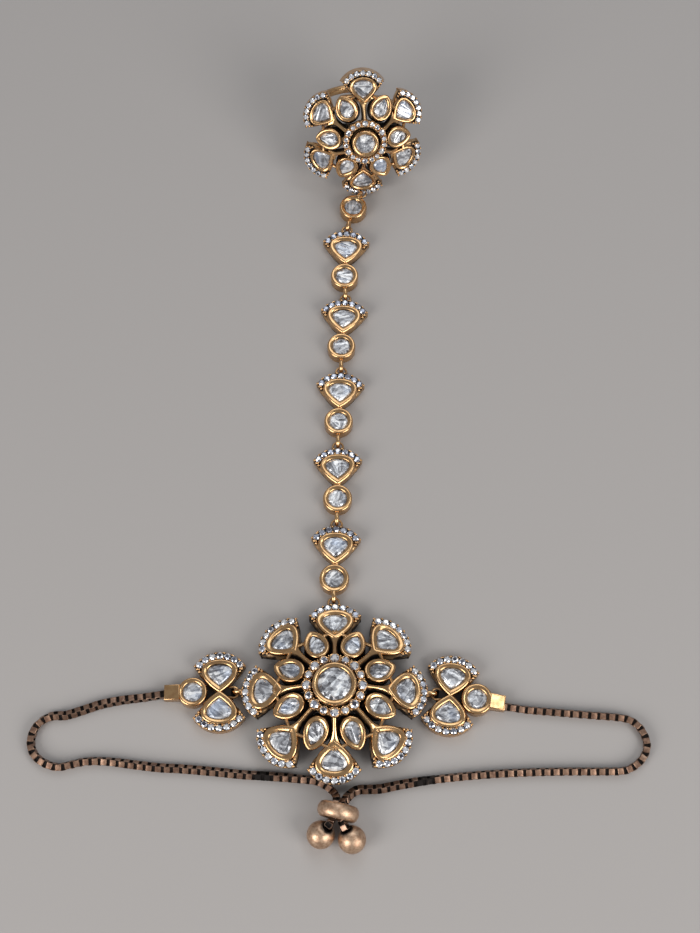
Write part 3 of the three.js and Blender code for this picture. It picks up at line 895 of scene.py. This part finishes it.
def head(size):
    """A flower head in its own frame: its metal, its small stones' places and its gems."""
    step = 360 / size["petals"]
    stocks, paved = hub(size)
    fans = [fan_metal(size["petal_depth"], size["bezel"], size["wall"], flare)
            for flare in size["flare"]]
    seat = size["pear_seat"]
    pear = joined([bezel(pear_outline(size["pear"], seat), size["pear_depth"], 0.95),
                   pear_skirt(size)])
    pear_gem = drop(seat[0] - 0.02, seat[1] - 0.04, sharpness=0.55, count=16)
    spokes = {radius: spoke_metal(size, radius) for radius in set(size["petal_radii"])}
    bar_reach, bar_half = size["bar"]
    bar = bar_metal(bar_half * 2.2)
    bars = {-1: bar.placed(turn("Z", 180)), 1: bar}
    gems = [("centre", circle(size["hub_seat"] + 0.02, 20), shift(0, 0, size["hub_rise"]),
             HUB_GEM_RISE)]
    for i in range(size["petals"]):
        radius = size["petal_radii"][i % 2]
        spot = on_head(i * step, radius, size["petal_height"], size["petal_tip"], size["scale"])
        stocks.append(fans[i % len(fans)].placed(spot))
        stocks.append(spokes[radius].placed(turn("Z", -i * step)))
        paved += fan_stone_places(spot)
        gems.append((f"petal_{i + 1}", fan_gem(), spot, FAN_GEM_RISE))
        bearing = (i + 0.5) * step
        flip = on_head(bearing, size["pear_radius"], size["pear_height"], size["pear_tip"])
        flip = flip @ turn("Z", 180)
        stocks.append(pear.placed(flip))
        gems.append((f"pear_{i + 1}", pear_gem, flip, FAN_GEM_RISE))
        across = on_head(bearing, bar_reach + 0.7, size["pear_height"] - 0.5, 18)
        for side, flat in bars.items():
            stocks.append(flat.placed(across @ shift(side * 1.2, 0)))
    return stocks, paved, gems


def place_head(name, size, place, extra, metal_node, gem_nodes):
    """Makes a head's pieces. gem_nodes gives the CAD node of each gem that has one."""
    seed = SEEDS[name]
    stocks, paved, gems = head(size)
    make_gold(name + "_gold", [joined(stocks).placed(place)] + extra, metal_node)
    places = [(place @ spot, radius) for spot, radius in paved]
    set_cut_stones(name + "_cut_stones", places, seed, HEAD_SHADE)
    for i, (gem, outline, spot, rise) in enumerate(gems):
        nodes = [gem_nodes[gem]] if gem in gem_nodes else []
        set_gem(f"{name}_{gem}_gem", outline, place @ spot, seed + 11 * i, *nodes, rise=rise)


def loop_towards(jump, piece, z):
    """A long loop on edge, through a jump ring, on the line to the piece it is soldered to."""
    away = Vector((piece[0] - jump[0], piece[1] - jump[1])).normalized()
    heading = math.degrees(math.atan2(away.x, away.y))
    loop = torus(LOOP["radius"], LOOP["wire"], 28, 10, 0.1, (1, LOOP["stretch"], 1), True)
    x, y = jump[0] + LOOP["reach"] * away.x, jump[1] + LOOP["reach"] * away.y
    return loop.placed(on_table(x, y, heading, z))


def shank_metal():
    """An oval hoop of rounded strip whose ends pass side by side."""
    w, t = SHANK["width"] / 2, SHANK["thick"] / 2
    section = mirrored([(-w * 0.6, -t), (-w * 0.92, -t * 0.7), (-w, 0), (-w * 0.92, t * 0.7),
                        (-w * 0.6, t)])
    rings = []
    for i in range(64):
        angle = rad(-108 + 390 * i / 63)
        aside = 0.0
        if angle < math.pi / 2:
            aside = max(SHANK["aside"] * (math.pi / 2 - angle) / rad(170), SHANK["aside"])
        outward = Vector((math.cos(angle) / SHANK["half"], 0, math.sin(angle) / SHANK["deep"]))
        outward.normalize()
        centre = Vector((SHANK["half"] * math.cos(angle), aside, SHANK["deep"] * math.sin(angle)))
        rings.append([tuple(centre + outward * r + Vector((0, y, 0))) for y, r in section])
    hoop = loft(rings, np.full(len(rings), 0.02))
    spot = shift(0, SHANK["offset"], SHANK["top"]) @ turn("X", SHANK["tip"])
    return hoop.placed(spot @ shift(0, 0, -SHANK["deep"]))


def bridge_metal():
    """The bar under the head that the shank is soldered to."""
    rings = []
    for x, half in ((-7.5, 0.8), (-7.2, 1.4), (7.2, 1.4), (7.5, 0.8)):
        y0, z0 = SHANK["offset"], SHANK["top"] - 0.3
        corners = mirrored([(half, -0.45), (half, 0.3), (half - 0.3, 0.5)])
        rings.append([(x, y0 + y, z0 + z) for y, z in corners])
    return loft(rings, [0.8] * 4)


# --- side stations ---

# Height, half width and darkness of an end cap's levels, up to its slightly sunk top; it is darker
# towards its foot.
CAP_LEVELS = [
    (-2.4, 1.35, 0.6), (-2.2, 1.5, 0.45), (-1.0, 1.52, 0.3), (-0.3, 1.52, 0.05),
    (-0.14, 1.49, 0.0), (-0.08, 1.4, 0.0), (-0.1, 1.3, 0.0), (-0.1, 1.2, 0.0),
]
# The cap's length lies about these y, and its top falls to the far end by twice this.
CAP_NEAR, CAP_FAR = 9.4, 9.45
CAP_FALL = 0.19


def cap_metal():
    """The box-shaped end cap that holds the chain's end."""
    rings = []
    for z, half, _ in CAP_LEVELS:
        low, high = CAP_NEAR - half, CAP_FAR + half
        fall = CAP_FALL if z > -0.5 else 0.0
        rings.append(mirrored([(half, low, z + fall), (half, high, z - fall)]))
    return loft(rings, [dark for _, _, dark in CAP_LEVELS])


# A black disc that fills an open gap under a station: painted shade, with blackened plate.
def black_disc(radius, low, high, stretch, move):
    outline = circle(radius, 24) * stretch + move
    return loft([at_height(outline, low), at_height(outline, high)], [1.0, 1.0])


def strip(levels, dark):
    """A bar along Y, through levels of half width, y, foot and top, with a ridge if it has one."""
    rings = []
    for half, y, foot, top, *ridge in levels:
        middle = [(0, y, z) for z in ridge]
        rings.append(mirrored([(half, y, foot), (half, y, top)], *middle))
    return loft(rings, [dark] * len(levels))


# --- the box chain ---


def smooth_route(points):
    """Points every ROUTE_STEP along a Catmull-Rom curve through the route."""
    p = np.array(points, float)
    p = np.vstack([2 * p[0] - p[1], p, 2 * p[-1] - p[-2]])
    dense = []
    for a, b, c, d in zip(p, p[1:], p[2:], p[3:]):
        t = np.linspace(0, 1, 40, endpoint=False)[:, None]
        dense.append(0.5 * (2 * b + (c - a) * t + (2 * a - 5 * b + 4 * c - d) * t**2
                            + (3 * b - a - 3 * c + d) * t**3))
    dense = np.vstack(dense + [p[-2:-1]])
    lengths = np.append(0, np.cumsum(np.linalg.norm(np.diff(dense, axis=0), axis=1)))
    marks = np.arange(0, lengths[-1], ROUTE_STEP)
    return np.stack([np.interp(marks, lengths, dense[:, i]) for i in range(3)], 1), marks


def chain_link(width):
    """One box link: a square band round Y, chamfered, with a black core inside it, painted shade
    that stands for the shaded links within the chain.
    """
    long, high = LINK["length"] / 2, width / 2
    wall, band, chamfer = LINK["wall"], width * LINK["band"], LINK["chamfer"]
    crown, sink = LINK["crown"], LINK["sink"]
    right = [(long - chamfer, -high + sink), (long, -high + chamfer), (long, high - chamfer),
             (long - chamfer, high - sink)]
    left = [(-x, -z) for x, z in right]
    corners = right[2:] + [(0, high + crown)] + left + [(0, -high - crown)] + right[:2]
    # Share of the wall's thickness in from the outside, share of the half band, and tarnish and
    # shade: the inside of the band is black and its edges half dark, painted shade.
    section = [(0.25, 1.0, 0.5), (0.0, 0.86, 0.0), (0.0, -0.86, 0.0), (0.25, -1.0, 0.5),
               (1.0, -1.0, 1.0), (1.0, 1.0, 1.0)]
    points = []
    dark = []
    for x, z in corners:
        inner_x = min(max(abs(x) - wall, 0.3), abs(x))
        inner_z = max(abs(z) - wall, 0.3)
        for depth, side, tarnish_and_shade in section:
            px = math.copysign(between(abs(x), inner_x, depth), x)
            pz = math.copysign(between(abs(z), inner_z, depth), z)
            points.append((px, band * side, pz))
            dark.append(tarnish_and_shade)
    count = len(section)
    faces = []
    for i in range(len(corners)):
        a, b = i * count, ((i + 1) % len(corners)) * count
        for j in range(count):
            k = (j + 1) % count
            faces.append((a + j, a + k, b + k, b + j))
    deselect()
    bpy.ops.mesh.primitive_cube_add(size=2)
    with editing():
        bpy.ops.transform.resize(value=(long - 0.15, band - 0.3, high - 0.15))
    return joined([Stock(points, faces, dark), read_stock(1.0)])


def lay_chain(pattern, pitch, name, route, roll):
    """Copies of a link along a route, each a quarter turn on from the last."""
    points, marks = smooth_route(route)
    shares, turns = zip(*roll)
    low, high = BLACKENED[name]
    chance = np.random.RandomState(len(name))
    stocks = []
    for i, mark in enumerate(np.arange(CHAIN_START, marks[-1] - CHAIN_END, pitch)):
        here = min(int(mark / ROUTE_STEP), len(points) - 3)
        ahead = points[min(here + 8, len(points) - 1)] - points[max(here - 8, 0)]
        along = Vector(ahead).normalized()
        across = Vector((0, 0, 1)).cross(along).normalized()
        up = along.cross(across)
        basis = Matrix((along, across, up)).transposed().to_4x4()
        roll_here = float(np.interp(mark / marks[-1], shares, turns))
        spin = turn("X", roll_here + 90 * ((i + (name == "left")) % 2))
        sway = turn("Z", chance.uniform(-3, 3)) @ turn("Y", chance.uniform(-4, 4))
        link = pattern.placed(shift(*points[here]) @ basis @ spin @ sway)
        link.tarnish_and_shade = link.tarnish_and_shade + chance.uniform(0, 0.12)
        # A link that would dip into the table is lifted onto it.
        link.points[:, 2] += max(0.01 - link.points[:, 2].min(), 0)
        if low < points[here][0] < high and points[here][1] < BLACKENED_BELOW:
            link.tarnish_and_shade = np.maximum(link.tarnish_and_shade, 0.9)
        stocks.append(link)
    return joined(stocks)


def ball_metal(radius):
    """An end ball with the chain's hole at its top, black inside and darkening round its edge:
    painted shade.
    """
    deselect()
    bpy.ops.mesh.primitive_uv_sphere_add(segments=48, ring_count=40, radius=radius)
    with editing() as shape:
        bpy.ops.mesh.select_all(action="DESELECT")
        for vertex in shape.verts:
            across = math.hypot(vertex.co.x, vertex.co.y)
            vertex.select = vertex.co.z > 0 and across < MOUTH["radius"]
        shape.select_flush(True)
        bmesh.update_edit_mesh(bpy.context.object.data)
        inwards = {"value": (0, 0, -MOUTH["depth"])}
        bpy.ops.mesh.extrude_region_move(TRANSFORM_OT_translate=inwards)
        face_outwards()
    stock = read_stock()
    across = np.hypot(stock.points[:, 0], stock.points[:, 1])
    inside = np.linalg.norm(stock.points, axis=1) < radius - 0.05
    stock.tarnish_and_shade = np.where(inside, 1.0, np.interp(across, [1.2, 1.5, 1.9], [0.8, 0.3, 0.0]))
    stock.tarnish_and_shade[stock.points[:, 2] < 0] = 0.0
    return stock


# --- sizes, colours and operators ---


def length(name, description, millimetres):
    return bpy.props.FloatProperty(
        name=name, description=description, default=millimetres * MM, unit="LENGTH",
        subtype="DISTANCE",
    )


def colour(name, description, *rgb):
    return bpy.props.FloatVectorProperty(
        name=name, description=description, default=(*rgb, 1), size=4, subtype="COLOR",
    )


class HarnessSizes(bpy.types.PropertyGroup):
    """Sizes that a maker would change."""

    chain_width: length("Chain Width", "Width of the box chain", 1.42)
    chain_pitch: length("Chain Pitch", "Distance from one chain link to the next", 0.89)
    wire: length("Jump Ring Wire", "Radius of the jump rings' wire", 0.23)
    ball: length("Ball Radius", "Radius of the chain's end balls", 2.7)


class HarnessColours(bpy.types.PropertyGroup):
    """Colours of the metals and the table."""

    gold: colour("Gold", "Polished gold", 0.72, 0.45, 0.215)
    gold_dull: colour("Dull Gold", "Gold where it has lost its polish", 0.55, 0.318, 0.148)
    chain: colour("Chain", "The chain's worn rose gold", 0.345, 0.215, 0.148)
    chain_dull: colour("Dull Chain", "The chain where it is dull", 0.20, 0.115, 0.08)
    satin: colour("Satin Gold", "The brushed slider and balls", 0.63, 0.44, 0.30)
    satin_dull: colour("Dull Satin Gold", "The slider and balls where dull", 0.46, 0.29, 0.19)
    # Oxide is the black of the blackened metal and also of the painted shade in recesses, holes and
    # gaps.
    oxide_and_shade: colour("Oxide And Shade", "Blackened metal in the recesses", 0.012, 0.009, 0.008)
    table: colour("Table", "Plain surface under the harness", 0.36, 0.34, 0.33)


def stand(name, data, spot, turned):
    """Puts a lamp or the camera in its place."""
    holder = bpy.data.objects.new(name, data)
    holder.location = spot
    holder.rotation_euler = turned
    bpy.context.scene.collection.objects.link(holder)
    return holder


class HARNESS_OT_stage(bpy.types.Operator):
    """Makes the plain table, the soft lights and the camera"""

    bl_idname = "harness.stage"
    bl_label = "Stage"

    def execute(self, context):
        deselect()
        bpy.ops.mesh.primitive_grid_add(x_subdivisions=4, y_subdivisions=4, size=TABLE_SIDE)
        table = context.object
        table.name = "table_top"
        grey = context.scene.harness_colours.table
        surface(new_tree("table_finish"), {"Base Color": grey, "Roughness": 0.7})
        table.data.materials.append(bpy.data.materials["table_finish"])
        world = bpy.data.worlds.new("studio")
        world.use_nodes = True
        background = world.node_tree.nodes["Background"].inputs
        background["Color"].default_value = SKY
        background["Strength"].default_value = SKY_STRENGTH
        context.scene.world = world
        for name, spot, size, power, tint in LAMPS:
            lamp = bpy.data.lights.new(name, "AREA")
            lamp.size = size
            lamp.energy = power
            lamp.color = tint
            aim = Vector(LAMP_AIM) - Vector(spot)
            stand(name, lamp, spot, aim.to_track_quat("-Z", "Y").to_euler())
        camera = bpy.data.cameras.new("camera")
        camera.lens = CAMERA["lens"]
        camera.sensor_width = 36
        camera.clip_start = 0.01
        elevation = CAMERA["elevation"]
        towards = Vector((0, -math.cos(elevation), math.sin(elevation)))
        spot = ZERO + CAMERA["away"] * towards
        context.scene.camera = stand("camera", camera, spot, (math.pi / 2 - elevation, 0, 0))
        context.scene.view_settings.view_transform = "Standard"
        return {"FINISHED"}


class HARNESS_OT_flower(bpy.types.Operator):
    """Makes the large flower with its stones and the loops of the side stations"""

    bl_idname = "harness.flower"
    bl_label = "Flower"

    def execute(self, context):
        place = shift(*FLOWER_AT) @ turn("X", FLOWER_LEAN)
        eyes = [on_table(*station) @ Vector(STATION_EYE) for station in STATIONS.values()]
        loops = [loop_towards(eye, FLOWER_AT, STATION_LOOP_HEIGHT) for eye in eyes]
        gems = {"centre": "flower_centre_stone"}
        for i in range(1, 1 + FLOWER["petals"]):
            gems[f"petal_{i}"] = f"flower_petal_stone_{i}"
            gems[f"pear_{i}"] = f"flower_pear_stone_{i}"
        place_head("flower", FLOWER, place, loops, "flower_frame", gems)
        return {"FINISHED"}


class HARNESS_OT_ring(bpy.types.Operator):
    """Makes the finger ring: its flower head, its stones and the open shank"""

    bl_idname = "harness.ring"
    bl_label = "Finger Ring"

    def execute(self, context):
        place = shift(*RING_AT) @ turn("X", RING_LEAN) @ turn("Y", RING_SIDE)
        extra = [shank_metal().placed(place), bridge_metal().placed(place)]
        gems = {"centre": "ring_centre_stone"}
        place_head("ring", RING, place, extra, "finger_ring", gems)
        return {"FINISHED"}


class HARNESS_OT_strand(bpy.types.Operator):
    """Makes the single round link and the five fan links of the strand"""

    bl_idname = "harness.strand"
    bl_label = "Strand"

    def execute(self, context):
        top = Vector((0, ARC_TOP + 0.42, 0))
        jumps = [on_table(*link) @ top for link in LINKS] + [Vector((*FLOWER_JUMP, 0))]
        setting = round_metal(STRAND_ROUND)
        place = on_table(*FIRST_ROUND, LINK_DEPTH)
        make_gold("strand_round_gold", [
            setting.placed(place), loop_towards(RING_JUMP, FIRST_ROUND, LOOP_HEIGHT),
            loop_towards(jumps[0], FIRST_ROUND, LOOP_HEIGHT),
        ], "strand_round")
        seed = SEEDS["first_round"]
        set_gem("strand_round_gem_1", round_gem(), place, seed, "strand_round_stone_1")
        fan = fan_metal(LINK_DEPTH, FAN_SIZES["strand"])
        neck = strip([(0.75, -2.8, -2.3, -0.6, -0.35), (0.6, -4.2, -2.3, -0.6, -0.35)], 0.3)
        for i, (link, jump) in enumerate(zip(LINKS, jumps[1:])):
            n = i + 1
            place = on_table(*link, LINK_DEPTH)
            low = place @ shift(0, -STRAND_ROUND_DOWN)
            loop = loop_towards(jump, tuple(low.translation)[:2], LOOP_HEIGHT)
            stocks = [fan.placed(place), neck.placed(place), setting.placed(low), loop]
            make_gold(f"strand_link_{n}_gold", stocks, f"strand_link_{n}")
            set_cut_stones(f"strand_link_{n}_cut_stones", fan_stone_places(place),
                           SEEDS["link_arcs"] + i, LINK_SHADE)
            set_gem(f"strand_fan_gem_{n}", fan_gem(), place, SEEDS["link_fans"] + i,
                    f"strand_fan_stone_{n}", rise=FAN_GEM_RISE)
            set_gem(f"strand_round_gem_{n + 1}", round_gem(), low, SEEDS["link_rounds"] + i,
                    f"strand_round_stone_{n + 1}")
        return {"FINISHED"}


class HARNESS_OT_stations(bpy.types.Operator):
    """Makes the two side stations of two fans, a round setting and an end cap"""

    bl_idname = "harness.stations"
    bl_label = "Side Stations"

    def execute(self, context):
        fan = fan_metal(LINK_DEPTH, FAN_SIZES["station"])
        # The black discs and strip under each station fill the gap round its eye: blackened plate
        # and painted shade.
        joints = joined([
            cap_metal(),
            black_disc(2.0, -2.4, -1.5, (0.9, 1.1), (0, 1.4)),
            black_disc(1.7, -2.45, -2.1, (1, 1), (0, -1.35)),
            strip([(1.0, 0.4, -1.7, -0.85), (0.8, -2.2, -1.7, -0.9)], 1.0),
        ])
        x, y = STATION_FAN
        for index, (name, station) in enumerate(STATIONS.items()):
            place = on_table(*station, LINK_DEPTH)
            setting = round_metal(STATION_ROUNDS[name])
            spots = [place @ shift(-x, y) @ turn("Z", 90), place @ shift(x, y) @ turn("Z", -90)]
            low = place @ shift(0, STATION_ROUND_UP)
            stocks = [fan.placed(spot) for spot in spots]
            stocks += [setting.placed(low), joints.placed(place)]
            make_gold(f"station_{name}_gold", stocks, f"station_{name}")
            stones = fan_stone_places(spots[0]) + fan_stone_places(spots[1])
            seed = SEEDS["station_arcs"] + index
            set_cut_stones(f"station_{name}_cut_stones", stones, seed, STATION_SHADE)
            for i, spot in enumerate(spots):
                seed = SEEDS["station_fans"] + 2 * index + i
                set_gem(f"station_{name}_fan_gem_{i + 1}", fan_gem(), spot, seed,
                        f"station_{name}_fan_stone_{i + 1}", rise=FAN_GEM_RISE)
            seed = SEEDS["station_rounds"] + index
            set_gem(f"station_{name}_round_gem", round_gem(), low, seed,
                    f"station_{name}_round_stone")
        return {"FINISHED"}


class HARNESS_OT_jump_rings(bpy.types.Operator):
    """Makes the flat jump rings, each where its plain ring lies"""

    bl_idname = "harness.jump_rings"
    bl_label = "Jump Rings"

    def execute(self, context):
        wire = context.scene.harness_sizes.wire / MM
        pattern = torus(JUMP_RADIUS, wire, 32, 10, 0.45)
        for number in range(1, 10):
            name = f"jump_ring_{number}"
            low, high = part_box(name)
            middle = (low + high) / 2 - ZERO
            make_gold(name + "_wire", [pattern.placed(shift(*(middle / MM)))], name)
        return {"FINISHED"}


class HARNESS_OT_chains(bpy.types.Operator):
    """Makes the two runs of box chain, link by link along their routes"""

    bl_idname = "harness.chains"
    bl_label = "Box Chain"

    def execute(self, context):
        sizes = context.scene.harness_sizes
        pattern = chain_link(sizes.chain_width / MM)
        runs = {"left": (CHAIN_LEFT, ROLL_LEFT), "right": (CHAIN_RIGHT, ROLL_RIGHT)}
        for name, (route, roll) in runs.items():
            links = lay_chain(pattern, sizes.chain_pitch / MM, name, route, roll)
            make_piece(f"chain_{name}_links", links, finish("rose_gold"),
                       (f"chain_{name}",), crease=30)
        return {"FINISHED"}


class HARNESS_OT_slider(bpy.types.Operator):
    """Makes the slider, a rounded ring on edge, and the two end balls"""

    bl_idname = "harness.slider"
    bl_label = "Slider and Balls"

    def execute(self, context):
        satin = finish("satin_gold")
        ring = torus(SLIDER["radius"], SLIDER["thick"], 72, 32, 0.05, (1, 1, SLIDER["stretch"]))
        # The slider's hole is black and its inner side dark: painted shade.
        around = np.hypot(ring.points[:, 0], ring.points[:, 1])
        ring.tarnish_and_shade = np.interp(around, [1.9, 2.4, 2.9], [1.0, 0.8, 0.05])
        place = shift(*SLIDER_AT) @ turn("Z", SLIDER_HEADING) @ turn("X", SLIDER_LEAN)
        place = place @ turn("X", 90)
        make_piece("slider_ring", ring.placed(place), satin, ("slider_bead",))
        ball = ball_metal(context.scene.harness_sizes.ball / MM)
        for name, spot in BALLS.items():
            mouth = Vector(BALL_MOUTHS[name]).normalized()
            steer = mouth.to_track_quat("Z", "Y").to_matrix().to_4x4()
            shell = ball.placed(shift(*spot) @ steer)
            make_piece(f"ball_{name}_shell", shell, satin, (f"ball_{name}",))
        return {"FINISHED"}


class HARNESS_PT_panel(bpy.types.Panel):
    """Lists the sizes, the colours and the steps that build the harness"""

    bl_label = "Hand Harness"
    bl_idname = "HARNESS_PT_panel"
    bl_space_type = "VIEW_3D"
    bl_region_type = "UI"
    bl_category = "Harness"

    def draw(self, context):
        for name in HarnessSizes.__annotations__:
            self.layout.prop(context.scene.harness_sizes, name)
        for name in HarnessColours.__annotations__:
            self.layout.prop(context.scene.harness_colours, name)
        for step in STEPS:
            self.layout.operator(step.bl_idname)


STEPS = (
    HARNESS_OT_stage, HARNESS_OT_ring, HARNESS_OT_strand, HARNESS_OT_flower, HARNESS_OT_stations,
    HARNESS_OT_jump_rings, HARNESS_OT_chains, HARNESS_OT_slider,
)
CLASSES = (HarnessSizes, HarnessColours, *STEPS, HARNESS_PT_panel)


def register():
    for cls in CLASSES:
        bpy.utils.register_class(cls)
    bpy.types.Scene.harness_sizes = bpy.props.PointerProperty(type=HarnessSizes)
    bpy.types.Scene.harness_colours = bpy.props.PointerProperty(type=HarnessColours)


def unregister():
    del bpy.types.Scene.harness_colours
    del bpy.types.Scene.harness_sizes
    for cls in reversed(CLASSES):
        bpy.utils.unregister_class(cls)


def main():
    register()
    bpy.ops.harness.stage()
    bpy.ops.harness.ring()
    bpy.ops.harness.strand()
    bpy.ops.harness.flower()
    bpy.ops.harness.stations()
    bpy.ops.harness.jump_rings()
    bpy.ops.harness.chains()
    bpy.ops.harness.slider()


if __name__ == "__main__":
    main()
